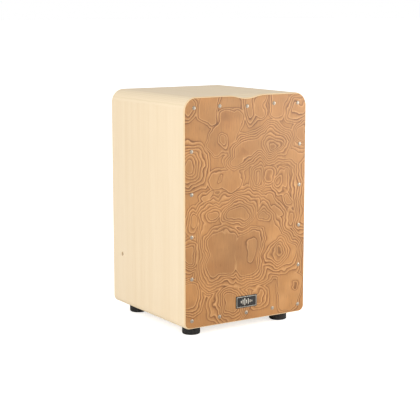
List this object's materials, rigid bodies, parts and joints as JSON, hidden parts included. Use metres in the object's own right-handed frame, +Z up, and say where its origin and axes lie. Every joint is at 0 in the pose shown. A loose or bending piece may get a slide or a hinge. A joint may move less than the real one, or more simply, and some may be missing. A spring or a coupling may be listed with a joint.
{
  "type": "cajon",
  "caption": "Wooden box drum to sit on: thin front sheet screwed to a ply box on rubber feet, round sound hole behind, and snare strings tightened by a hex key from the side.",
  "frame": {"origin": "middle of the footprint, on the floor", "axes": "+Z up, the front sheet faces -Y, +X to the right seen from the front"},
  "size_m": [0.3, 0.3036, 0.488],
  "materials": {
    "burl_tapa": "satin lacquer",
    "birch_ply": "satin lacquer",
    "pine": "planed, unfinished",
    "zinc_steel": "bright zinc",
    "rubber": "matte",
    "black_badge": "satin black",
    "badge_metal": "brushed",
    "string_steel": "plain drawn wire",
    "brass": "turned",
    "nylon": "matte",
    "bright_steel": "turned"
  },
  "bodies": {
    "box": {"back_left_foot": "rubber", "back_panel": "birch_ply", "back_right_foot": "rubber", "back_screws": "zinc_steel", "badge_motif": "badge_metal", "badge_plate": "black_badge", "bottom_back_rail": "pine", "bottom_front_rail": "pine", "bottom_panel": "birch_ply", "foot_screws": "zinc_steel", "foot_washers": "zinc_steel", "front_left_foot": "rubber", "front_right_foot": "rubber", "left_back_stile": "pine", "left_bearing_block": "pine", "left_bottom_corner_block": "pine", "left_bush": "brass", "left_front_stile": "pine", "left_side_panel": "birch_ply", "left_top_corner_block": "pine", "right_back_stile": "pine", "right_bearing_block": "pine", "right_bottom_corner_block": "pine", "right_bush": "brass", "right_front_stile": "pine", "right_side_panel": "birch_ply", "right_top_corner_block": "pine", "saddle_rod": "bright_steel", "seat_panel": "birch_ply", "snare_string_1": "string_steel", "snare_string_2": "string_steel", "snare_string_3": "string_steel", "snare_string_4": "string_steel", "string_anchor": "pine", "string_ball_ends": "brass", "tapa": "burl_tapa", "tapa_screws": "zinc_steel", "top_back_rail": "pine", "top_front_rail": "pine"},
    "spindle": {"left_collar": "bright_steel", "left_friction_washer": "nylon", "left_grub_screw": "bright_steel", "right_collar": "bright_steel", "right_friction_washer": "nylon", "right_grub_screw": "bright_steel", "string_winding_1": "string_steel", "string_winding_2": "string_steel", "string_winding_3": "string_steel", "string_winding_4": "string_steel", "tension_spindle": "bright_steel"}
  },
  "joints": [
    {"name": "spindle_turn", "type": "hinge", "parent": "box", "child": "spindle", "pos_m": [0, 0.107, 0.133], "axis": [1, 0, 0], "range_deg": [-180, 45]}
  ]
}
